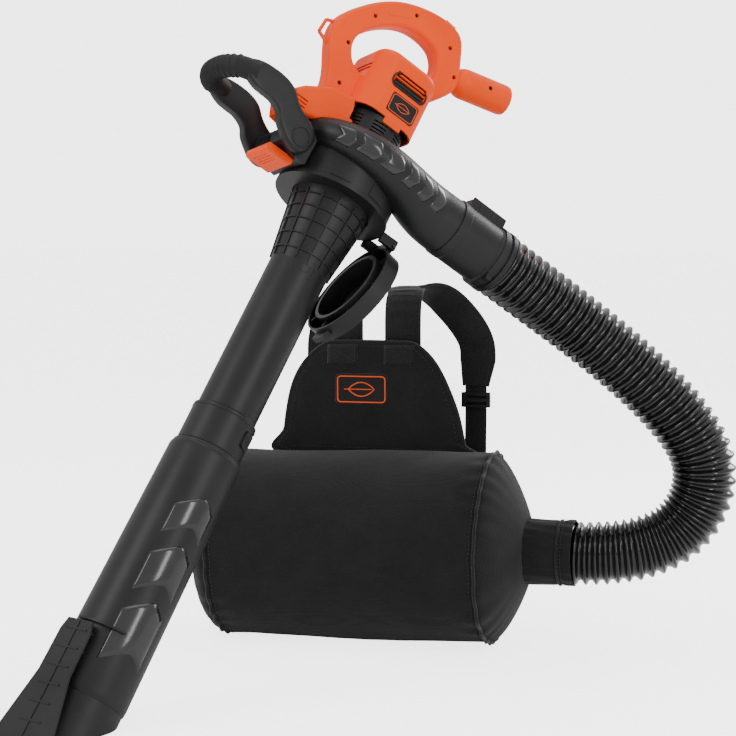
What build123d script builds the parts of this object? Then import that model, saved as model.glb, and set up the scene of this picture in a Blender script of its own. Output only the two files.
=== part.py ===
"""Leaf vacuum mulcher: hand-held vacuum head with a two-piece suction tube, a corrugated hose and a
backpack collection bag. Units are millimetres, +Z is up. The origin is the centre of the rear grip.
X runs along the bag's barrel, Y runs from the suction nozzle towards the bag.

The head is drawn in its own frame: z along the motor shaft and the suction tube, x towards the air
outlet, y across the handles. HEAD places that frame in the row."""
import math
import os
from build123d import *

os.makedirs("parts", exist_ok=True)

# ---- driving dimensions -------------------------------------------------------------------
# pose of the head: shaft lean from vertical, its heading, and the roll about the shaft
LEAN, HEADING, ROLL = 34.9, 60.8, -16.4
GRIP = (-10, 0, 350)          # rear grip centre in the head frame
FLOOR = -1019.0               # the plane the nozzle and the bag stand on, row frame

# suction tubes
WALL = 2.5
TUBE_R, NECK_R, CONE_R = 46.0, 50.0, 62.0
CONE_Z, NECK_Z, JOINT_Z, INSERT_Z = -120.0, -378.0, -440.0, -485.0
LOW_R0, LOW_R1, LOW_END = 53.5, 60.0, -960.0

# fan housing
COLLAR_R, COLLAR_WALL, CHAMBER_TOP, SPLIT_Z, SEAM_Z = 90.0, 3.0, 92.0, 38.0, 66.0
INTAKE_R = 64.1
DUCT_Y, DUCT_Z, DUCT_R, DUCT_END = -50.0, 66.0, 47.0, 168.0
# scroll sections: x, y, z, radius
SCROLL = [(88 * math.cos(math.radians(a)), 88 * math.sin(math.radians(a)), z, r)
          for a, z, r in ((178, 80, 20), (205, 77, 22.5), (230, 74, 26), (255, 71, 29.5), (280, 69, 33.5))]
SCROLL += [(56, -76, 67.5, 38), (94, -62, 66.3, 42.5), (130, -51.5, 66, 46), (DUCT_END, DUCT_Y, DUCT_Z, DUCT_R)]

# motor
SHAFT_R, RUN_FIT = 5.0, 0.05
BASE_R, BASE_Z0, BASE_Z1 = 55.0, 96.0, 150.0
COVER_W, COVER_TOP, COVER_WALL = 116.0, 262.0, 3.0

# rear handle
HANDLE_T = 36.0
SCREW_R = 3.6
SCREWS = [(-82, 305), (-20, 352), (-102, 238), (56, 343), (84, 305), (-85, 172), (147, 327)]

# front handle
ARM_Y, ARM_T = 57.0, 15.0
PIVOT = (-118.0, 34.0)
FRONT_GRIP = (-262.0, 74.0)

# intake cover, hanging open from its hinge
HINGE = (112.0, 0.0, -6.0)
COVER_LEAN = 9.0
LID_R, LID_T = 84.0, 26.0

# adapter and hose
ADAPTER_END = 274.0
HOSE_R = 50.0
CUFF_END = 232.0              # X of the bag-side end of the hose
# hose route after the adapter, row frame
HOSE_MID = [(300, 92, -520), (383, 130, -600), (440, 152, -676), (450, 162, -737), (429, 163, -796),
            (384, 154, -838)]

# bag
BAG_X0, BAG_X1, BAG_Y, BAG_R, BAG_WALL = -353.0, 103.0, 133.0, 156.0, 3.0
BAG_Z = FLOOR + BAG_R + 3
SLEEVE_R = 50.0
PANEL_Y = 175.0

NODES = {}


# ---- helpers ------------------------------------------------------------------------------
def tilt():
    """Rotation that carries the head frame's axes into the row."""
    return Rot(0, 0, HEADING) * Rot(0, LEAN, 0) * Rot(0, 0, ROLL)


GRIP_OFFSET = (tilt() * Pos(*GRIP)).position
HEAD = Pos(-GRIP_OFFSET.X, -GRIP_OFFSET.Y, -GRIP_OFFSET.Z) * tilt()


def to_row(point):
    """A head-frame point in the row frame."""
    return (HEAD * Pos(*point)).position


def save(name, shape, place=None):
    """Store one node, moved into the row frame when a placement is given."""
    solids = shape.solids()
    body = solids[0] if len(solids) == 1 else Compound(children=list(solids))
    NODES[name] = place * body if place is not None else body


def cyl(radius, z0, z1, x=0.0, y=0.0):
    return Pos(x, y, (z0 + z1) / 2) * Cylinder(radius, z1 - z0)


def ring(r_out, r_in, z0, z1, x=0.0, y=0.0):
    return cyl(r_out, z0, z1, x, y) - cyl(r_in, z0 - 1, z1 + 1, x, y)


def block(x0, x1, y0, y1, z0, z1, edge=0.0):
    shape = Pos((x0 + x1) / 2, (y0 + y1) / 2, (z0 + z1) / 2) * Box(x1 - x0, y1 - y0, z1 - z0)
    return fillet(shape.edges(), edge) if edge else shape


def turned(points):
    """A solid turned about z from a closed list of radius, height points."""
    face = make_face(Plane.XZ * Polyline(*points, close=True))
    return revolve(face, Axis.Z)


def rod(p0, p1, radius):
    """A round bar between two points."""
    a, b = Vector(*p0), Vector(*p1)
    return Plane(origin=(a + b) * 0.5, z_dir=b - a) * Cylinder(radius, (b - a).length)


def plate_xz(points, y0, y1, smooth=False):
    """An outline in the x, z plane, given thickness from y0 to y1."""
    line = Spline(*points, periodic=True) if smooth else Polyline(*points, close=True)
    face = make_face(Plane.XZ * line)
    return Pos(0, y0, 0) * extrude(face, amount=y1 - y0, dir=(0, 1, 0))


def around(count, shape, start=0.0, sweep=360.0):
    """Copies of a shape turned about z."""
    step = sweep / count
    return [Rot(0, 0, start + step * i) * shape for i in range(count)]


# ---- suction tubes ------------------------------------------------------------------------
def tube_radius(z):
    """Outside radius of the upper tube's cone at height z."""
    return TUBE_R + (CONE_R - TUBE_R) * max(0.0, (z - CONE_Z) / -CONE_Z)


def build_upper_tube():
    outside = [(TUBE_R - WALL, NECK_Z), (NECK_R - WALL, NECK_Z - 4), (NECK_R - WALL, INSERT_Z), (NECK_R, INSERT_Z), (NECK_R, NECK_Z), (TUBE_R, NECK_Z + 3),
               (TUBE_R, CONE_Z), (CONE_R, 0), (CONE_R + 2, 4), (CONE_R + 2, 12), (CONE_R - 1, 12),
               (CONE_R - WALL - 0.5, 0), (TUBE_R - WALL, CONE_Z)]
    tube = turned(outside)
    for z in (-14, -34, -56, -80, -104):
        r = tube_radius(z)
        tube += ring(r + 2.0, r - 1.2, z - 1.1, z + 1.1)
    slope = math.degrees(math.atan2(CONE_R - TUBE_R, -CONE_Z))
    rib = Pos((TUBE_R + CONE_R) / 2 + 0.2, 0, CONE_Z / 2 - 2) * Rot(0, slope, 0) * Box(3.4, 2.2, 112)
    for copy in around(14, rib):
        tube += copy
    tube -= button_place() * Box(14, 20.4, 26.4)
    for turn in (125, 305):
        tube -= Rot(0, 0, turn) * Pos(NECK_R, 0, INSERT_Z + 14) * Box(1.6, 12, 10)
    save("upper_tube", tube, HEAD)


def button_place():
    """Where the tube release button sits on the neck, x pointing outwards."""
    return Rot(0, 0, -52) * Pos(NECK_R - 3, 0, -405)


def build_tube_button():
    pad = Pos(1.5, 0, 0) * Box(8, 20, 26)
    pad = fillet(pad.edges().filter_by(Axis.X), 4)
    pad -= [Pos(5.6, 0, z) * Box(1.2, 13, 1.6) for z in (-7, -3, 1, 5)]
    flange = Pos(-3.5, 0, 0) * Box(2.2, 25, 31)
    save("tube_release_button", button_place() * (pad + flange), HEAD)


def low_radius(z):
    return LOW_R0 + (LOW_R1 - LOW_R0) * (JOINT_Z - z) / (JOINT_Z + 905)


def build_lower_tube():
    """Nozzle tube: plain taper, raised chevron pads, skid plate, its ribs, and a guard fin."""
    r_end = low_radius(LOW_END)
    tube = turned([(NECK_R + 0.05, JOINT_Z), (LOW_R0 - 1, JOINT_Z), (LOW_R0, JOINT_Z - 2), (r_end, LOW_END),
                   (r_end - WALL, LOW_END), (low_radius(-505) - WALL, -505), (NECK_R + 0.05, -492)])
    for z0 in (-560, -660, -770):
        r = low_radius(z0 - 30)
        pad = cyl(r + 2.2, z0 - 62, z0)
        wedge = Rot(0, 0, -64) * chevron(r + 12, z0)
        tube += (pad & wedge) - cyl(r - 1.0, z0 - 70, z0 + 10)
    fin = ring(low_radius(-742) + 9, low_radius(-742) - 1.2, -744, -741)
    tube += fin & (Rot(0, 0, 222) * Pos(80, 0, -742) * Box(160, 74, 30))
    tube += skid()
    bore = turned([(0, JOINT_Z + 1), (NECK_R + 0.05, JOINT_Z + 1), (NECK_R + 0.05, -492),
                   (low_radius(-505) - WALL, -505), (r_end - WALL, LOW_END - 1), (0, LOW_END - 1)])
    tube -= bore
    placed = HEAD * tube
    placed -= Pos(placed.center().X, placed.center().Y, FLOOR - 150) * Box(1500, 1500, 300)
    save("lower_tube", placed)


def chevron(reach, z0):
    """A slanted wedge, pointing along x, that limits a raised pad to a chevron."""
    pts = [(-30, z0 - 46), (0, z0 - 60), (30, z0 - 46), (30, z0 - 4), (0, z0 - 18), (-30, z0 - 4)]
    face = make_face(Plane.YZ * Polyline(*pts, close=True))
    return extrude(face, amount=reach, dir=(1, 0, 0))


def skid():
    """Flat flared plate standing off the tube on six ribs."""
    outline = [(-26, -748), (26, -748), (32, -765), (34, -830), (62, -935), (-66, -935), (-34, -830), (-32, -765)]
    face = make_face(Plane.YZ * Polyline(*outline, close=True))
    plate = extrude(face, amount=3.2, dir=(1, 0, 0))
    plate = Pos(-70, 0, 0) * plate
    ribs = [Pos(-60, 0, z) * Box(22, 46, 2.6) for z in (-762, -790, -818, -846, -874, -902)]
    spine = Pos(-60, 0, -845) * Box(22, 3, 190)
    return Rot(0, 0, 18) * (plate + ribs + spine)


# ---- fan housing --------------------------------------------------------------------------
def scroll_solid(shrink):
    """The growing scroll and its outlet duct as one lofted solid."""
    faces = []
    count = len(SCROLL)
    for i, (x, y, z, r) in enumerate(SCROLL):
        ax, ay, az, _ = SCROLL[max(0, i - 1)]
        bx, by, bz, _ = SCROLL[min(count - 1, i + 1)]
        along = Vector(bx - ax, by - ay, bz - az)
        if i == 0:
            along = Vector(0, -1, -0.05)
        if i >= count - 2:
            along = Vector(1, 0, 0)
        start = along.normalized() * (shrink if i == 0 else 0)
        place = Plane(origin=Vector(x, y, z) + start, z_dir=along)
        faces.append(place * Circle(r - shrink))
    return loft(faces)


def housing():
    """Fan chamber, scroll and duct as one hollow shell, before it is cut into its mouldings."""
    outer = cyl(COLLAR_R, 0, CHAMBER_TOP + 4) + scroll_solid(0)
    inner = cyl(COLLAR_R - COLLAR_WALL, 4, CHAMBER_TOP) + scroll_solid(WALL)
    shell = outer - inner
    shell -= cyl(INTAKE_R, -1, 5)
    shell -= cyl(16.1, CHAMBER_TOP - 1, CHAMBER_TOP + 6)
    shell -= Pos(DUCT_END + 50, DUCT_Y, DUCT_Z) * Box(100, 200, 200)
    return shell


def build_housing():
    shell = housing()
    low = cyl(COLLAR_R + 0.01, -1, SPLIT_Z)
    collar = shell & low
    collar += ring(INTAKE_R + 3, INTAKE_R, 3.9, 15)
    collar += ring(COLLAR_R + 2.5, COLLAR_R - 0.6, 0, 5)
    for turn in (245, 288):
        collar += raised_panel(turn)
    for y in (-26, 26):
        lug = block(86, HINGE[0] + 5, y - 4, y + 4, HINGE[2] - 5, 6, 1.5)
        lug -= Pos(HINGE[0], y, HINGE[2]) * Rot(90, 0, 0) * Cylinder(3.05, 12)
        collar += lug
    collar -= cyl(COLLAR_R - COLLAR_WALL, 4.2, SPLIT_Z + 1) - ring(INTAKE_R + 3, INTAKE_R, 3, 15)
    save("fan_collar", collar, HEAD)
    rest = shell - low
    deck = Pos(0, 0, SEAM_Z + 100) * Box(700, 700, 200)
    save("volute_upper", rest & deck, HEAD)
    save("volute_lower", rest - deck, HEAD)


def raised_panel(turn):
    """Low rounded panel moulded on the collar wall."""
    pad = cyl(COLLAR_R + 1.2, 10, 30) - cyl(COLLAR_R - 1, 9, 31)
    window = Rot(0, 0, turn) * Pos(COLLAR_R, 0, 20) * Box(40, 34, 40)
    return pad & window


# ---- outlet adapter -----------------------------------------------------------------------
def outlet(shape):
    """Places a shape drawn about z with its base at the duct's end."""
    return Pos(DUCT_END, DUCT_Y, DUCT_Z) * Rot(0, 90, 0) * shape


def build_adapter():
    length = ADAPTER_END - DUCT_END
    bore = DUCT_R - WALL
    wall = [(bore, 0.1), (49, 0.1), (49, 14), (48, 16), (48, 78), (50, 82), (50, length - 8), (53, length - 8),
            (53, length), (46.5, length), (46.5, 30), (bore, 20)]
    tube = outlet(turned(wall))
    tube += block(186, 250, DUCT_Y - 15, DUCT_Y + 15, 111, 122, 2)
    tube -= block(192, 244, DUCT_Y - 10, DUCT_Y + 10, 114.5, 130)
    tube += block(213, 223, DUCT_Y - 13, DUCT_Y - 10, 120, 128) + block(213, 223, DUCT_Y + 10, DUCT_Y + 13, 120, 128)
    tube -= Pos(218, DUCT_Y, 124) * Rot(90, 0, 0) * Cylinder(2.0, 40)
    save("outlet_adapter", tube, HEAD)
    rocker = block(193, 243, DUCT_Y - 9.4, DUCT_Y + 9.4, 118, 130, 3)
    rocker -= [block(x, x + 2, DUCT_Y - 6, DUCT_Y + 6, 129, 132) for x in (198, 203, 208)]
    rocker -= Pos(218, DUCT_Y, 124) * Rot(90, 0, 0) * Cylinder(2.05, 40)
    save("adapter_release_button", rocker, HEAD)
    pin = Pos(218, DUCT_Y, 124) * Rot(90, 0, 0) * Cylinder(2, 24)
    save("adapter_button_pin", pin, HEAD)
    clamp = outlet(ring(52.4, 50.02, length - 24, length - 14))
    clamp += Pos(ADAPTER_END - 19, DUCT_Y - 30, DUCT_Z - 44) * Box(9, 12, 10)
    clamp -= outlet(cyl(50.02, 0, length))
    save("hose_clamp_band", clamp, HEAD)


# ---- motor --------------------------------------------------------------------------------
def build_motor_base():
    base = ring(BASE_R, BASE_R - 3, BASE_Z0, BASE_Z1)
    base += ring(BASE_R, 13, BASE_Z0, BASE_Z0 + 12) - cyl(13, 90, 120)
    base -= around(6, Pos(34, 0, BASE_Z0 + 6) * Cylinder(8, 20), 30)
    for turn in (218, 262, 306, 40, 90, 140):
        for z in (121, 127, 133, 139):
            base -= Rot(0, 0, turn) * Pos(BASE_R, 0, z) * Box(12, 24, 2.6)
    save("motor_base", base, HEAD)
    frame = ring(50, 47, BASE_Z1, 236)
    frame += ring(50, 13, 234, 246)
    frame -= around(4, Pos(31, 0, 240) * Cylinder(11, 20), 45)
    frame += ring(51.95, 47, BASE_Z1 - 6, BASE_Z1)
    save("motor_frame", frame, HEAD)


def build_motor():
    core = ring(46.9, 29, 166, 214)
    core -= around(24, Pos(46.9, 0, 190) * Box(2, 3, 60))
    save("stator_core", core, HEAD)
    coils = []
    for turn in (0, 180):
        wrap = ring(28.8, 22.4, 160, 218) & (Rot(0, 0, turn) * Pos(40, 0, 190) * Box(60, 38, 80))
        coils.append(wrap)
    save("field_coils", coils[0] + coils[1], HEAD)
    save("bearing_lower", ring(13, SHAFT_R, BASE_Z0 + 1, BASE_Z0 + 11), HEAD)
    save("bearing_upper", ring(13, SHAFT_R, 235, 245), HEAD)
    shaft = cyl(SHAFT_R - RUN_FIT, 9, 250)
    save("rotor_shaft", shaft, HEAD)
    r_in = SHAFT_R - RUN_FIT
    core = ring(21.5, r_in, 164, 216)
    core -= around(12, Pos(21, 0, 190) * Box(4, 2, 60))
    save("armature_core", core, HEAD)
    bars = ring(13, r_in, 219, 232)
    bars -= around(16, Pos(13, 0, 226) * Box(1.6, 0.7, 20))
    save("commutator", bars, HEAD)
    fan = ring(14, r_in, 118, 134) + ring(44, 13, 118, 120)
    for blade in around(11, Pos(28, 0, 126) * Rot(0, 0, 18) * Box(28, 1.8, 13)):
        fan += blade & cyl(44, 110, 140)
    save("cooling_fan", fan - cyl(r_in, 100, 150), HEAD)
    brushes = [Pos(17, 0, 225.5) * Box(7.6, 6, 8), Pos(-17, 0, 225.5) * Box(7.6, 6, 8)]
    save("carbon_brushes", brushes[0] + brushes[1], HEAD)
    holders = []
    for side in (-1, 1):
        box = Pos(side * 30, 0, 225.5) * Box(33, 10, 12)
        holders.append(box - Pos(side * 20, 0, 225.5) * Box(40, 6.05, 8.05))
    save("brush_holders", holders[0] + holders[1], HEAD)


def build_impeller():
    r_in = SHAFT_R - RUN_FIT
    disc = ring(78, r_in, 62, 65) + ring(18, r_in, 40, 65) + ring(10, r_in, 21, 41)
    vane = plate_xz([(16, 62.5), (16, 42), (40, 24), (78, 26), (78, 62.5)], -1.2, 1.2)
    for copy in around(12, vane):
        disc += copy
    save("impeller", disc - cyl(r_in, 10, 80), HEAD)
    blade = block(-40, 40, -9, 9, 18, 21)
    blade = fillet(blade.edges().filter_by(Axis.Z), 4)
    save("shredding_blade", blade - cyl(r_in, 10, 40), HEAD)
    nut = Pos(0, 0, 12) * extrude(RegularPolygon(9, 6), amount=6)
    save("impeller_nut", nut - cyl(r_in, 10, 40), HEAD)


def cover_box(grow, top, z0):
    """Rounded-square motor cover volume."""
    half = COVER_W / 2 + grow
    shape = block(-half, half, -half, half, z0, top)
    shape = fillet(shape.edges().filter_by(Axis.Z), 32 + grow)
    return fillet(shape.edges().group_by(Axis.Z)[-1], 16 + grow)


def build_motor_cover():
    cover = cover_box(0, COVER_TOP, 142) - cover_box(-COVER_WALL, COVER_TOP - COVER_WALL, 130)
    cover -= block(-70, -8, -70, -20, 130, 152)
    cover -= block(24, 70, -70, 10, 130, 150)
    for dz in (0, 6.5, 13):
        cover -= Pos(8, -COVER_W / 2, 216 + dz) * Box(58, 12, 4)
    cover -= Pos(-COVER_W / 2, -10, 226) * Box(12, 46, 4)
    cover -= Pos(-COVER_W / 2, -10, 219) * Box(12, 46, 4)
    cover -= Pos(8, COVER_W / 2, 220) * Box(58, 12, 4)
    cover -= Pos(12, -COVER_W / 2, 180) * Box(52, 2.4, 34)
    save("motor_cover", cover, HEAD)
    badge = Pos(12, -COVER_W / 2 + 0.4, 180) * Box(51.6, 1.6, 33.6)
    badge = fillet(badge.edges().filter_by(Axis.Y), 5)
    save("badge_plate", badge, HEAD)
    feet = []
    for x in (2, 34):
        foot = block(x - 11, x + 11, 18, 34, COVER_TOP, COVER_TOP + 9)
        feet.append(fillet(foot.edges().group_by(Axis.Z)[-1], 3))
    save("cover_feet", feet[0] + feet[1], HEAD)


# ---- rear handle --------------------------------------------------------------------------
OUTER = [(-104, 150), (-120, 205), (-134, 243), (-131, 272), (-114, 300), (-90, 328), (-60, 353), (-26, 370),
         (10, 380), (42, 382), (66, 374), (80, 352), (92, 322), (98, 296), (88, 272), (68, 246), (30, 214),
         (-20, 180), (-66, 142)]
OPENING = [(-76, 216), (-91, 238), (-92, 256), (-84, 273), (-66, 295), (-43, 314), (-15, 327), (14, 329),
           (37, 322), (49, 306), (52, 286), (47, 268), (20, 240), (-30, 214)]
POD_A, POD_B, POD_R = (112, 0, 316), (182, 0, 336), 25.0


def inset(points, amount):
    """Moves a closed outline inwards (or outwards when negative) along its local normals."""
    out = []
    count = len(points)
    area = sum(points[i][0] * points[(i + 1) % count][1] - points[(i + 1) % count][0] * points[i][1]
               for i in range(count))
    side = 1 if area > 0 else -1
    for i in range(count):
        ax, az = points[i - 1]
        bx, bz = points[(i + 1) % count]
        dx, dz = bx - ax, bz - az
        size = math.hypot(dx, dz)
        out.append((points[i][0] - side * dz / size * amount, points[i][1] + side * dx / size * amount))
    return out


def pod(radius, shorten):
    """Rounded power-inlet pod at the back of the handle."""
    a, b = Vector(*POD_A), Vector(*POD_B)
    along = (b - a).normalized()
    start, end = a, b - along * shorten
    shape = rod(tuple(start), tuple(end), radius)
    shape += Pos(*tuple(start)) * Sphere(radius)
    nose = Plane(origin=end, z_dir=along) * Sphere(radius)
    slab = Plane(origin=end + along * 20, z_dir=along) * Box(90, 90, 26)
    return shape + (nose - slab)


def rounded_loop(points, away):
    """A closed outline given the handle's thickness, with its edges rounded over."""
    half = HANDLE_T / 2
    steps = [(1.0, 7.0), (0.89, 3.0), (0.67, 0.6), (0.4, 0.0)]
    steps = [(-k, d) for k, d in steps] + [(k, d) for k, d in steps[::-1]]
    faces = []
    for k, drop in steps:
        reach = half * k * (1.03 if away < 0 else 1.0)
        line = Spline(*inset(points, drop * away), periodic=True)
        faces.append(make_face(Pos(0, reach, 0) * (Plane.XZ * line)))
    return loft(faces)


def handle_solid():
    shape = rounded_loop(OUTER, 1) - rounded_loop(OPENING, -1)
    return shape + pod(POD_R, 0)


def handle_core():
    inner = plate_xz(inset(OUTER, 3.5), -HANDLE_T / 2 + 3.5, HANDLE_T / 2 - 3.5, True)
    inner -= plate_xz(inset(OPENING, -3.5), -HANDLE_T, HANDLE_T, True)
    return inner + pod(POD_R - 3, 2)


def switch_place():
    """Top rear of the grip, x along the slider's travel."""
    return Pos(44, 0, 381) * Rot(0, 4, 0)


def build_handle():
    solid = handle_solid() - handle_core()
    bosses = [Pos(x, 0, z) * Rot(90, 0, 0) * Cylinder(6.5, HANDLE_T - 4) for x, z in SCREWS]
    for boss in bosses:
        solid += boss
    solid -= cover_box(0.02, COVER_TOP + 0.02, 100)
    solid -= cowl_box(0.02)
    solid -= cyl(COLLAR_R + 40, 0, 118)
    solid -= switch_place() * Box(30, 12, 20)
    solid -= inlet_place() * Cylinder(17.05, 60)
    for i in range(9):
        notch = Pos(-64 + 5.2 * i, 0, 354 + 2.35 * i) * Rot(0, -24, 0) * Box(2, 26, 4)
        solid -= notch
    for x, z in SCREWS:
        solid -= bar_y(x, z, SCREW_R, -32, -10)
        solid -= bar_y(x, z, 1.6, -10.2, 14)
    half = Pos(0, -150, 200) * Box(800, 300, 800)
    save("handle_shell_near", largest(solid & half), HEAD)
    save("handle_shell_far", largest(solid - half), HEAD)
    screws = [screw_at(x, z) for x, z in SCREWS]
    save("handle_screws", Compound(children=screws), HEAD)
    inlay = Pos(-46, -HANDLE_T / 2 - 0.4, 336) * Rot(0, -28, 0) * Box(44, 0.8, 9)
    save("grip_inlay", fillet(inlay.edges().filter_by(Axis.Y), 4.3), HEAD)


def largest(shape):
    return max(shape.solids(), key=lambda solid: solid.volume)


def bar_y(x, z, radius, y0, y1):
    """A round bar across the handle from y0 to y1."""
    return Pos(x, (y0 + y1) / 2, z) * Rot(90, 0, 0) * Cylinder(radius, y1 - y0)


def screw_at(x, z):
    slot = Pos(x, -13.4, z) * (Box(4.4, 2, 1) + Box(1, 2, 4.4))
    return (bar_y(x, z, SCREW_R - 0.1, -13, -10) + bar_y(x, z, 1.6, -10.2, 14) - slot).solid()


def inlet_place():
    """Power inlet at the pod's nose, z out of the nose."""
    a, b = Vector(*POD_A), Vector(*POD_B)
    return Plane(origin=b + (b - a).normalized() * 2, z_dir=b - a)


def build_power():
    cup = inlet_place() * (cyl(17, -28, 4) - cyl(14.5, -22, 6))
    save("power_inlet", cup, HEAD)
    blades = [inlet_place() * Pos(x, 0, -15) * Box(1.5, 6.3, 14) for x in (-5, 5)]
    save("inlet_blades", blades[0] + blades[1], HEAD)
    button = switch_place() * (Pos(0, 0, 0.5) * Box(20, 11.4, 12) + Pos(-2, 0, -7) * Box(25, 22, 3))
    button -= switch_place() * Compound(children=[Pos(x, 0, 7) * Box(1.2, 14, 2.4) for x in (-6, -3, 0, 3, 6)])
    save("power_switch", button, HEAD)
    module = Pos(30, 0, 354) * Rot(0, 4, 0) * Box(44, 18, 14)
    save("switch_module", module - handle_bosses(), HEAD)


def handle_bosses():
    return [Pos(x, 0, z) * Rot(90, 0, 0) * Cylinder(6.55, 40) for x, z in SCREWS]


def cowl_box(grow):
    """Shoulder cowl volume over the start of the scroll."""
    pts = [(-153, 108), (-140, 122), (-100, 148), (-58, 156), (-44, 128), (-44, 100), (-128, 78), (-142, 80)]
    shape = plate_xz(inset(pts, -grow) if grow else pts, -42 - grow, 42 + grow)
    return fillet(shape.edges().filter_by(Axis.Y, reverse=True), 7)


def build_cowl():
    cowl = cowl_box(0)
    cowl -= scroll_solid(-0.02)
    cowl -= cyl(COLLAR_R + 0.02, 0, CHAMBER_TOP + 4.02)
    cowl -= cyl(BASE_R + 0.02, 90, 170)
    cowl -= cover_box(0.02, 200, 120)
    cowl -= Pos(-118, 0, 111) * Box(46, 74, 40) & Pos(-112, 0, 112) * Box(60, 74, 30)
    cowl -= [Pos(-140, -44, z) * Box(30, 14, 2.4) for z in (88, 94, 100)]
    save("shoulder_cowl", cowl, HEAD)


def build_strap_eyelet():
    path = Plane.XZ * Polyline((-131, 262), (-145, 256), (-147, 232), (-128, 224))
    bar = sweep(Plane(origin=path @ 0, z_dir=path % 0) * Circle(3), path, transition=Transition.ROUND)
    bar -= plate_xz(OUTER, -HANDLE_T, HANDLE_T, True)
    save("strap_eyelet", bar, HEAD)


# ---- front handle -------------------------------------------------------------------------
ARM = [(-250, 62), (-222, 58), (-186, 58), (-168, 50), (-158, 34), (-144, 22), (-130, 14), (-112, 12), (-98, 22),
       (-96, 44), (-108, 58), (-128, 66), (-146, 72), (-160, 90), (-176, 97), (-222, 94), (-256, 88)]


def build_bracket():
    """Fixed bracket on the collar that carries the front handle's pivots."""
    pts = [(-86, 8), (-112, 12), (-136, 24), (-140, 44), (-120, 60), (-92, 70), (-84, 70)]
    body = plate_xz(pts, -46, 46)
    body = fillet(body.edges().filter_by(Axis.Y), 3)
    body -= cyl(COLLAR_R + 0.02, -5, 120)
    body -= ring(COLLAR_R + 2.52, COLLAR_R - 1, -1, 5.02)
    body -= scroll_solid(-0.02)
    body -= cowl_box(0.05)
    body -= plate_xz([(-150, -2), (-150, 20), (-100, 20), (-100, -2)], -34, 34)
    body += Pos(PIVOT[0], 0, PIVOT[1]) * Rot(90, 0, 0) * Cylinder(11.95, 2 * ARM_Y + 6)
    for i in range(7):
        body += Pos(-138, 30 - 5 * i, 34) * Box(4, 2, 12)
    save("handle_bracket", body, HEAD)


def build_front_handle():
    arms = None
    for side in (-1, 1):
        y = side * ARM_Y
        arm = plate_xz(ARM, y - ARM_T / 2, y + ARM_T / 2, True)
        arm -= Pos(PIVOT[0], y, PIVOT[1]) * Rot(90, 0, 0) * Cylinder(12, 40)
        arms = arm if arms is None else arms + arm
    gx, gz = FRONT_GRIP
    bar = Pos(gx, 0, gz) * Rot(90, 0, 0) * Cylinder(13, 2 * ARM_Y + ARM_T - 4)
    save("front_handle", arms + bar, HEAD)
    sleeve = Pos(gx, 0, gz) * Rot(90, 0, 0) * Cylinder(17, 2 * (ARM_Y - ARM_T / 2) - 0.4)
    for i in range(13):
        sleeve += Pos(gx, -42 + 7 * i, gz) * Rot(90, 0, 0) * Cylinder(18.4, 3)
    sleeve -= Pos(gx, 0, gz) * Rot(90, 0, 0) * Cylinder(13, 200)
    sleeve -= [plate_xz(ARM, s * ARM_Y - ARM_T / 2 - 0.1, s * ARM_Y + ARM_T / 2 + 0.1, True) for s in (-1, 1)]
    save("front_grip_sleeve", sleeve, HEAD)


def build_lock_lever():
    lever = block(-148, -100.5, -33, 33, 0, 13)
    lever = fillet(lever.edges().filter_by(Axis.Y), 4)
    lever -= [Pos(x, 0, 0) * Box(2, 40, 2) for x in (-138, -133, -128, -123)]
    save("handle_lock_lever", lever, HEAD)


# ---- intake cover -------------------------------------------------------------------------
def lid_place():
    """Cover frame: origin on the hinge, z out of the cover's back, x pointing down the cover."""
    return Pos(*HINGE) * Rot(0, 90 + COVER_LEAN, 0)


def build_intake_cover():
    far = LID_R + 8
    shell = Pos(far, 0, -LID_T + 14) * (cyl(LID_R, 0, LID_T) - cyl(LID_R - 3, -1, LID_T - 3))
    rim = Pos(far, 0, -LID_T + 14) * (ring(64, 58, -4, LID_T - 3))
    shell += rim
    for copy in around(8, Pos(70, 0, 8) * Box(16, 2.4, 12)):
        shell += Pos(far, 0, -LID_T + 14) * copy
    slots = [Pos(far, y, 8) * Box(80 - abs(y), 4, 30) for y in (-36, -24, -12, 0, 12, 24, 36)]
    shell -= slots
    shell += block(-6, 14, -20, 20, -6, 6) - Pos(far, 0, 0) * cyl(LID_R - 3, -40, LID_T - 15)
    shell -= Rot(90, 0, 0) * Cylinder(3.05, 80)
    tongue = block(2 * LID_R + 6, 2 * LID_R + 20, -16, 16, -6, 4)
    shell += tongue
    save("intake_cover", lid_place() * shell, HEAD)
    pin = lid_place() * Rot(90, 0, 0) * Cylinder(3, 66)
    save("cover_hinge_pin", pin, HEAD)


# ---- hose ---------------------------------------------------------------------------------
def hose_points():
    start = to_row((ADAPTER_END, DUCT_Y, DUCT_Z))
    first = to_row((ADAPTER_END + 105, DUCT_Y, DUCT_Z))
    pts = [tuple(start), tuple(first)] + HOSE_MID
    return pts + [(CUFF_END + 70, BAG_Y, BAG_Z), (CUFF_END, BAG_Y, BAG_Z)]


def build_hose():
    pts = [Vector(*p) for p in hose_points()]
    radii = []
    for a, b, c in zip(pts, pts[1:], pts[2:]):
        u, v = b - a, c - b
        half = math.radians(u.get_angle(v)) / 2
        radii.append(0.45 * min(u.length, v.length) / math.tan(half))
    print("hose points", [[round(k, 2) for k in tuple(p)] for p in pts])
    print("hose runs", [round((b - a).length, 1) for a, b in zip(pts, pts[1:])])
    print("hose arc radii", [round(r, 1) for r in radii])
    path = FilletPolyline(*pts, radius=radii)
    print("hose length", round(path.length, 1))
    tube = sweep(Plane(origin=path @ 0, z_dir=path % 0) * (Circle(HOSE_R) - Circle(HOSE_R - 2)), path)
    save("hose", tube)


# ---- bag ----------------------------------------------------------------------------------
def along_x(shape, x=0.0, y=BAG_Y, z=BAG_Z):
    """Turns a shape drawn about z so that its axis runs along X."""
    return Pos(x, y, z) * Rot(0, 90, 0) * shape


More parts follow.
